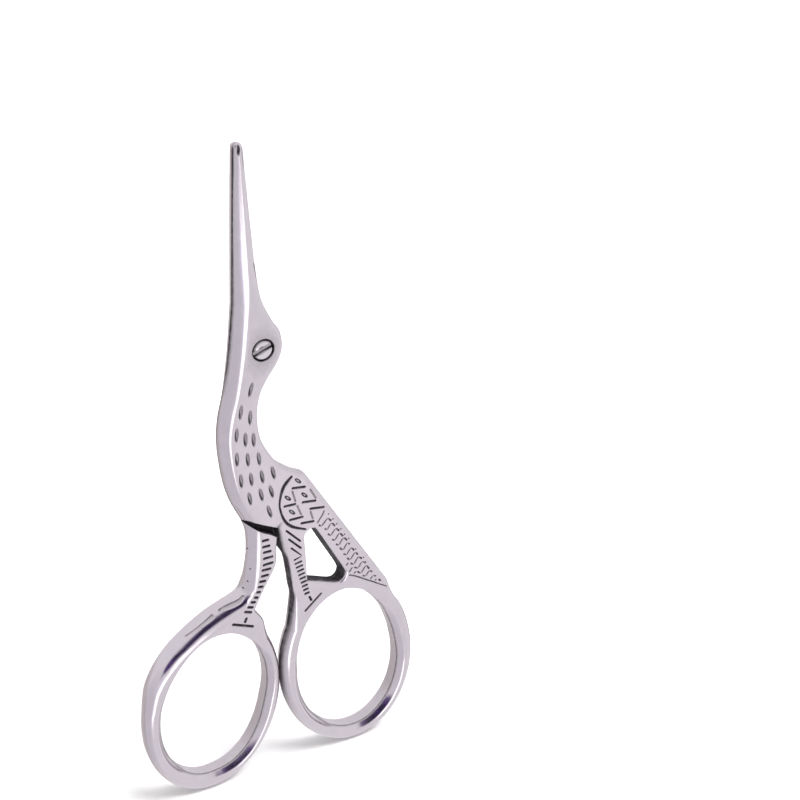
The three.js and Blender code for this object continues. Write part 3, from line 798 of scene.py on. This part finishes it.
TAIL_LINES = [
    [(5.8, 36.1), (6.66, 37.17), (6.9, 37.75)],
    [(6.05, 35.85), (6.4, 35.5), (7.28, 36.33), (7.45, 36.32), (7.83, 35.8)],
    [(6.85, 35.05), (7.18, 34.69), (7.73, 35.38), (7.95, 35.44), (8.36, 34.85)],
    [(7.3, 34.1), (7.67, 33.66), (8.35, 34.4), (8.52, 34.48), (8.94, 33.93)],
    [(7.87, 33.05), (8.25, 32.74), (8.84, 33.51), (9.06, 33.53), (9.48, 32.94)],
    [(8.41, 32.19), (8.77, 31.81), (9.34, 32.52), (9.56, 32.64), (9.78, 32.52), (10.03, 32.11)],
    [(8.91, 31.43), (9.38, 30.9), (9.9, 31.55), (10.15, 31.71), (10.41, 31.4)],
    [(9.44, 30.32), (9.88, 29.97), (10.48, 30.76), (10.67, 30.8), (11.03, 30.24)],
    [(9.98, 29.55), (10.34, 29.04), (11.12, 29.91), (11.26, 29.89), (11.57, 29.42)],
    [(10.42, 28.57), (10.88, 28.16), (11.51, 28.99), (11.8, 28.97), (12.12, 28.59)],
    [(10.98, 27.75), (11.47, 27.37), (12.11, 28.15), (12.29, 28.09), (12.76, 27.78)],
    [(11.4, 26.95), (11.64, 26.62), (11.95, 26.5), (12.65, 27.32), (12.84, 27.26), (13.16, 26.7)],
    [(12.14, 26.03), (12.57, 25.77), (13.06, 26.29), (13.34, 26.34), (13.57, 26.07)],
    [(13.3, 25), (13.7, 25.47), (13.85, 25.47), (14.13, 25.18)], [(13.95, 24.57), (14.21, 24.8)],
    [(14.5, 24.7), (14.82, 24.22)], [(9.75, 28.35), (10.14, 28.66)], [(10.17, 27.14), (10.73, 27.77)],
    [(10.88, 26.7), (11.22, 27)], [(7.39, 36.93), (7.56, 37.01)], [(7.97, 35.95), (8.2, 36.12)],
    [(8.5, 35.05), (8.72, 35.19)], [(9.08, 34.12), (9.28, 34.24)], [(9.6, 33.13), (9.8, 33.25)],
    [(10.2, 32.32), (10.38, 32.42)], [(11.17, 30.36), (11.35, 30.48)], [(12.25, 28.7), (12.45, 28.82)],
]
TAIL_BASE = [
    (10.08, 26.75), (10.69, 26.49), (11.48, 26.02), (12.18, 25.54), (12.84, 25.07), (13.68, 24.53),
    (14.43, 23.97), (15.05, 23.56), (15.76, 23.06),
]
HEEL_LINES = [  # points, widths along them, and depth
    ([(-8.15, 26.76), (-6.8, 27.06), (-5.64, 27.34), (-5, 27.63), (-4.52, 28.1)],
     (0.2, 0.36, 0.44, 0.4, 0.24), 0.3),
    ([(-12.9, 24.42), (-11.7, 25), (-10.42, 25.62), (-9.22, 26.22), (-8.82, 26.42)],
     (0.14, 0.2, 0.3, 0.38), 0.2),
]
# Painted shade across the heel's lines, darker on one side, and paler and fainter painted shade for the finer
# lines.
HEEL_SHADE = (0, 0.7, 1, 0.7, 0.35, 0.3, 0.25, 0.1, 0)
PALE_SHADE = (0, 0.3, 0.9, 0.9, 0.9, 0.8, 0.4, 0, 0)
FAINT_SHADE = (0, 0.2, 0.6, 0.6, 0.55, 0.5, 0.2, 0, 0)
FINE_DEPTH = 0.12
WING_ARC_WIDTHS = (0.34, 0.52, 0.48, 0.3, 0.26, 0.3, 0.38, 0.42, 0.36, 0.24)
RIGHT_HATCHES = np.linspace(0.11, 1, 9)  # shares of the way down the right leg


def feather(x, z):
    lean = np.interp(z, *zip(*FEATHER_LEANS)) - 0.03 * (x + 2.5)
    # Feathers have less painted shade on their lit side.
    return Dimple((x, z), 2, 0.56, lean, FEATHER_STEPS, lit_side=0.5)


def right_hatch(t):
    return Groove([(2.2 + 1.35 * t, 31.62 - 5.65 * t), (3.38 + 1.01 * t, 31.8 - 5.72 * t)], (0.3 + 0.06 * t,))


feathers = [feather(x, z) for x, z in FEATHERS]
handle_marks = [
    Groove(spline(WING_ARC), WING_ARC_WIDTHS),
    *(Groove(stroke, (0.36,)) for stroke in WING_STROKES),
    *(Groove(stroke, (0.24,), FINE_DEPTH, FAINT_SHADE) for stroke in WING_LINES),
    *(Dimple(c, 1.15, 0.46, -0.75, SPOT_STEPS) for c in WING_SPOTS),
    *(Groove(bent(stroke), (0.27,)) for stroke in THIGH),
    *(right_hatch(t) for t in RIGHT_HATCHES),
    *(Groove(bent(stroke), (0.32,)) for stroke in CLAW),
    *(Groove(spline(stroke), (0.26,), FINE_DEPTH, PALE_SHADE) for stroke in TAIL_LINES),
    Groove(spline(TAIL_BASE), (0.24, 0.14), FINE_DEPTH, PALE_SHADE),
]
left_marks = [Groove(stroke, (0.4,)) for stroke in [*LEFT_HATCHES, *LEFT_CLAW]]
heel_marks = [
    *(Groove(spline(stroke), widths, depth, HEEL_SHADE) for stroke, widths, depth in HEEL_LINES),
    *(Dimple(c, 0.2, 0.16, 0, FEATHER_STEPS) for c in HEEL_PITS),
]
tip_mark = Dimple((-2.19, 89.23), 1.26, 0.36, 0.1, FEATHER_STEPS)


def add_node(tree, kind, inputs, output, **settings):
    """An output of a new shader node. Its inputs are values or outputs of other nodes."""
    made = tree.nodes.new("ShaderNode" + kind)
    for name, value in settings.items():
        setattr(made, name, value)
    for socket, value in inputs.items():
        if isinstance(value, bpy.types.NodeSocket):
            tree.links.new(value, made.inputs[socket])
        else:
            made.inputs[socket].default_value = value
    return made.outputs[output]


def noise(tree, place, scale, detail, stretch=(1, 1, 1)):
    mapped = add_node(tree, "Mapping", {"Vector": place, "Scale": stretch}, "Vector")
    return add_node(tree, "TexNoise", {"Vector": mapped, "Scale": scale, "Detail": detail}, "Fac")


def ranged(tree, value, source, target):
    """A value carried from one range to another and kept within it."""
    ends = {"From Min": source[0], "From Max": source[1], "To Min": target[0], "To Max": target[1]}
    return add_node(tree, "MapRange", {"Value": value, **ends}, "Result")


# Colour of the painted shade in creases, gaps, hole walls and engraved cuts.
PAINTED_SHADE = (0.032, 0.027, 0.034, 1)
SHADE_METALLIC, SHADE_ROUGHNESS = 0.1, 0.5  # what the painted shade leaves of the metal, and how much rougher it is
# Noise scales, and how far each noise reaches: break-up of the painted shade, tone of the steel, patches of
# its gloss.
SHADE_NOISE_SCALE, SHADE_NOISE = 1500, (0.9, 1.1)
TONE_SCALE, TONES = 650, (1.05, 0.94)
GLOSS_SCALE = 260
# Waves, scratches and grain of the surface: scale, stretch and depth in metres.
BUMPS = [(170, (1, 1, 1), 0.00004), (900, (1, 1, 0.12), 0.000001), (4200, (1, 1, 1), 0.0000015)]


def new_material(name):
    material = bpy.data.materials.new(name)
    material.use_nodes = True
    return material, material.node_tree


def metal(name, colour, roughness):
    """Satin steel, a little wavy and grainy, with fine scratches. Where the mesh is dark it is painted shade,
    matt and nearly black.
    """
    material, tree = new_material(name)
    place = add_node(tree, "TexCoord", {}, "Object")
    painted = add_node(tree, "Attribute", {}, "Fac", attribute_name="dark")
    shade_noise = ranged(tree, noise(tree, place, SHADE_NOISE_SCALE, 3), (0.35, 0.65), SHADE_NOISE)
    dark = add_node(tree, "Math", {0: painted, 1: shade_noise}, "Value", operation="MULTIPLY", use_clamp=True)
    tones = {socket: (*(c * tone for c in colour), 1) for socket, tone in zip("AB", TONES)}
    tones["Factor"] = noise(tree, place, TONE_SCALE, 6)
    bare = add_node(tree, "Mix", tones, "Result", data_type="RGBA")
    # The dark attribute mixes in painted shade: matt, nearly black and hardly metallic.
    mix = add_node(tree, "Mix", {"Factor": dark, "A": bare, "B": PAINTED_SHADE}, "Result", data_type="RGBA")
    gloss = ranged(tree, noise(tree, place, GLOSS_SCALE, 4), (0.3, 0.7), roughness)
    dulled = ranged(tree, dark, (0, 1), (0, SHADE_ROUGHNESS))
    rough = add_node(tree, "Math", {0: gloss, 1: dulled}, "Value", operation="ADD")
    normal = {}
    for scale, stretch, depth in BUMPS:
        height = noise(tree, place, scale, 2, stretch)
        bumped = {"Strength": 1, "Distance": depth, "Height": height, **normal}
        normal = {"Normal": add_node(tree, "Bump", bumped, "Normal")}
    shader = tree.nodes["Principled BSDF"].inputs
    shader["Specular IOR Level"].default_value = 0.15
    tree.links.new(mix, shader["Base Color"])
    tree.links.new(ranged(tree, dark, (0, 1), (1, SHADE_METALLIC)), shader["Metallic"])
    tree.links.new(rough, shader["Roughness"])
    tree.links.new(normal["Normal"], shader["Normal"])
    return material


steel = metal("satin_steel", (0.63, 0.59, 0.625), (0.13, 0.21))
screw_steel = metal("screw_steel", (0.68, 0.65, 0.68), (0.12, 0.2))

# Painted shade: faint on the ring's inside walls, full on the tail hole's wall.
front = Solid()
add_half(
    front, FRONT, front_face, front_pad,
    layer=[belly, chest_and_spine, edge_and_head, shoulder_top],
    handle=[joined(shoulder, back, tail, right_ring, right_leg)],
    divide=wing, holes=[(right_inside, (0, 0), RING_WALL_SHADE), (tail_hole, HOLE_LEAN, 1)],
    layer_hole=bore, inner_hole=shank_hole,
    cuts=[*feathers, *handle_marks, tip_mark], pad_cuts=handle_marks,
)
# Painted shade darkens the bore's wall, the seat under the screw head and the shank hole's wall.
add_wall(front, bore, -relief(front_face, bore)[0], SEAT, True, 1)
add_plane(front, SEAT, FRONT, bore, [shank_hole])
add_wall(front, shank_hole, SEAT, -INNER, True, 1)

rear = Solid()
add_half(
    rear, BACK, rear_face, rear_pad,
    layer=[joined(left_thigh, chest_and_spine), rear_neck, beside_wing],
    handle=[joined(left_leg_right, left_ring, left_leg_left)],
    divide=left_leg_top, holes=[(left_inside, (0, 0), RING_WALL_SHADE)],
    layer_hole=thread_hole, inner_hole=thread_hole,
    cuts=[*feathers, *left_marks], pad_cuts=[*left_marks, *heel_marks],
)
# The thread hole's wall is dark with painted shade.
add_wall(rear, thread_hole, INNER, relief(rear_face, thread_hole)[0], True, 1)


def screw_moon(turn):
    """Half of the screw head beside its slot, clockwise from the front."""
    reach = math.asin(SLOT_HALF / HEAD_RADIUS)
    return pivot_arc(HEAD_RADIUS, np.linspace(math.pi - reach, reach, MOON_POINTS) + SLOT_TILT + turn)


# Each half of the head: the sections at the start of its rim and at its lip on the slot, and the painted
# shade on the slot's wall.
MOONS = [
    ((1, 0.85, 0.5, 1, 0, 1), (1.05, 0.3, 0.1, 1), 0.5), ((1.15, 0.2, 0.1, 1), (1.3, 0.08, 0.05, 1), 1),
]
RIM_END = (1.15, 0.2, 0.2, 1, 0, 1)
SHANK_EDGE = (1.25, 0.12, 0.05, 1)
SLOT_FLOOR_SHADE = 0.3
screw = Solid()
moons = [screw_moon(0), screw_moon(math.pi)]
for moon, (rim_start, lip, painted_shade) in zip(moons, MOONS):
    head_edge = [Edge(along(moon, rim_start, RIM_END)), Edge(along(moon[[-1, 0]], lip))]
    add_surface(screw, FRONT, head_edge, moon, [])
    # Painted shade darkens the head's rim wall, the slot's walls and floor and the face under the head.
    add_wall(screw, moon, -relief(head_edge, moon)[0], UNDER_HEAD, dark=1, joint=SLOT_FLOOR)
    add_wall(screw, moon[[-1, 0]], -relief(head_edge, moon[[-1, 0]])[0], SLOT_FLOOR, dark=painted_shade)
slot_floor = np.array([moons[0][0], moons[0][-1], moons[1][0], moons[1][-1]])
add_plane(screw, SLOT_FLOOR, FRONT, slot_floor, dark=SLOT_FLOOR_SHADE)
for ends in ([1, 2], [3, 0]):
    add_wall(screw, slot_floor[ends], SLOT_FLOOR, UNDER_HEAD)
shank = pivot_circle(SHANK_RADIUS)[::-1]
add_plane(screw, UNDER_HEAD, BACK, joined(*moons), [shank])
shank_edge = [Edge(along(shank, SHANK_EDGE), closed=True)]
add_wall(screw, shank, UNDER_HEAD, relief(shank_edge, shank)[0], True)
add_surface(screw, BACK, shank_edge, shank, [])

for made, name, material, node, body, slot in (
    (front, "front_half_looks", steel, "front_half", "front", "front_half_steel"),
    (rear, "rear_half_looks", steel, "rear_half", "rear", "rear_half_steel"),
    (screw, "pivot_screw_looks", screw_steel, "pivot_screw", "rear", "screw_steel"),
):
    piece = made.piece(name, material)
    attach(piece, body)
    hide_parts(node)

# Floor, light and camera.
bpy.ops.mesh.primitive_plane_add(size=6)
floor = bpy.context.object
floor.name = "floor"
floor.visible_glossy = False
paper, paper_tree = new_material("paper")
PAPER_LOOKS = {"Base Color": (0.97, 0.965, 0.968, 1), "Roughness": 1, "Specular IOR Level": 0}
for socket, value in PAPER_LOOKS.items():
    paper_tree.nodes["Principled BSDF"].inputs[socket].default_value = value
floor.data.materials.append(paper)


def add_card(name, place, width, height, shape, stops):
    """A glowing upright card, which only the steel mirrors, shaded by a gradient with the given stops."""
    upright = (math.radians(90), 0, 0)
    bpy.ops.mesh.primitive_plane_add(size=2, location=Vector(place) * MM, rotation=upright)
    card = bpy.context.object
    card.name = name
    card.scale = (width / 2 * MM, height / 2 * MM, 1)
    card.visible_camera = card.visible_diffuse = card.visible_shadow = False
    material, tree = new_material(name)
    spot = add_node(tree, "TexCoord", {}, "Generated" if shape == "LINEAR" else "Object")
    gradient = add_node(tree, "TexGradient", {"Vector": spot}, "Fac", gradient_type=shape)
    shade = add_node(tree, "ValToRGB", {"Fac": gradient}, "Color")
    marks = shade.node.color_ramp.elements
    for n, (position, colour) in enumerate(stops):
        mark = marks[n] if n < 2 else marks.new(position)
        mark.position, mark.color = position, (*colour, 1)
    glow = add_node(tree, "Emission", {"Color": shade}, "Emission")
    tree.links.new(glow, tree.nodes["Material Output"].inputs["Surface"])
    card.data.materials.append(material)


KEY_STRENGTH, KEY_SPREAD = 3.4, math.radians(38)
KEY_PLACE = (0.22, -0.17, 0.6)
key_light = bpy.data.lights.new("key_light", "SUN")
key_light.energy, key_light.angle = KEY_STRENGTH, KEY_SPREAD
key = bpy.data.objects.new("key", key_light)
key.location = KEY_PLACE
key.rotation_euler = key.location.to_track_quat("Z", "Y").to_euler()
key.visible_glossy = False
scene.collection.objects.link(key)

ROOM, GLARE = (1, 0.975, 1.01), (2.4, 2.35, 2.4)
SOFT_GLOW = (1.17, 1.13, 1.18)
BRIGHT = [(0, ROOM), (1, GLARE), (0.1, (0.98, 0.94, 1.04)), (0.25, (1, 0.92, 1.32)), (0.33, GLARE)]
add_card("bright_card", (-91, -250, -45), 198, 60, "LINEAR", BRIGHT)
add_card("low_card", (-111, -250, -115), 158, 80, "LINEAR", BRIGHT)
add_card("top_card", (-18, -250, -5), 53, 20, "LINEAR", BRIGHT)
add_card("soft_card", (58.6, -112, -35), 80, 70, "SPHERICAL", [(0, ROOM), (1, SOFT_GLOW)])

# What else the steel mirrors: (direction, cosines from which and up to which it grows, tint) in a pale room.
# The last ones make the dark streaks on the heel and on the ring bars.
STREAK = (0.08, 0.035, 0.18)
STREAK_AIMS = [(-0.02, -0.73, 0.68), (-0.21, -0.76, 0.61), (-0.42, -0.763, 0.49), (-0.58, -0.755, 0.3)]
MIRRORED = [
    ((-0.86, -0.2, -0.45), 0.6, 0.95, (0.8, 0.8, 0.82)),
    ((-0.42, 0.763, -0.49), 0.6, 0.95, (0.72, 0.7, 0.67)),
    ((0.68, 0.55, -0.49), 0.93, 0.99, (0.5, 0.48, 0.48)),
    ((-0.2, -0.975, 0.03), 0.985, 0.993, GLARE),
    *((aim, 0.965, 0.98, STREAK) for aim in STREAK_AIMS),
]
world = bpy.data.worlds.new("studio")
scene.world = world
world.use_nodes = True
sky = world.node_tree
sky.nodes.clear()
direction = add_node(sky, "TexCoord", {}, "Generated")
colour = ROOM
for aim, low, high, tint in MIRRORED:
    pair = {0: direction, 1: Vector(aim).normalized()}
    cosine = add_node(sky, "VectorMath", pair, "Value", operation="DOT_PRODUCT")
    span = {"Value": cosine, "From Min": low, "From Max": high}
    share = add_node(sky, "MapRange", span, "Result", interpolation_type="SMOOTHERSTEP")
    change = {0: share, 1: [c - 1 for c in tint], 2: (1, 1, 1)}
    tinted = add_node(sky, "VectorMath", change, "Vector", operation="MULTIPLY_ADD")
    colour = add_node(sky, "VectorMath", {0: tinted, 1: colour}, "Vector", operation="MULTIPLY")
# Reflections see those, the camera sees white, and all else is lit by a plain pale sky.
mirrored = add_node(sky, "Background", {"Color": colour}, "Background")
plain = add_node(sky, "Background", {"Color": (1, 0.99, 0.995, 1), "Strength": 0.7}, "Background")
shown = add_node(sky, "Background", {"Color": (1, 1, 1, 1)}, "Background")
glossy, direct = (add_node(sky, "LightPath", {}, ray) for ray in ("Is Glossy Ray", "Is Camera Ray"))
lit = add_node(sky, "MixShader", {"Fac": glossy, 1: plain, 2: mirrored}, "Shader")
final = add_node(sky, "MixShader", {"Fac": direct, 1: lit, 2: shown}, "Shader")
sky.links.new(final, sky.nodes.new("ShaderNodeOutputWorld").inputs["Surface"])

# Camera fitted to the photograph: its bearing, rise and roll in degrees, its distance from the point half-way
# up the scissors, its focal length in pixels, and the pixel at which that point shows.
BEARING, RISE, ROLL = (math.radians(n) for n in (-28.872, 29.388, -0.978))
DISTANCE, FOCAL, PICTURE = 300.322, 2400, 800
SHOWN_AT = (268.646, 470.87)
SENSOR = 36
behind = Vector((math.sin(BEARING) * math.cos(RISE), -math.cos(BEARING) * math.cos(RISE), math.sin(RISE)))
right = Vector((math.cos(BEARING), math.sin(BEARING), 0))
up = behind.cross(right)
right, up = (
    math.cos(ROLL) * right + math.sin(ROLL) * up,
    math.cos(ROLL) * up - math.sin(ROLL) * right,
)
turn = Matrix((right, up, behind)).transposed()
seen = Vector(((SHOWN_AT[0] - PICTURE / 2) / FOCAL, (PICTURE / 2 - SHOWN_AT[1]) / FOCAL, -1)) * DISTANCE
lens = bpy.data.cameras.new("camera")
lens.sensor_width = SENSOR
lens.lens = SENSOR * FOCAL / PICTURE
camera = bpy.data.objects.new("camera", lens)
camera.matrix_world = Matrix.Translation((Vector((0, 0, TIP_Z / 2)) - turn @ seen) * MM) @ turn.to_4x4()
scene.collection.objects.link(camera)
scene.camera = camera
scene.view_settings.view_transform = "Standard"
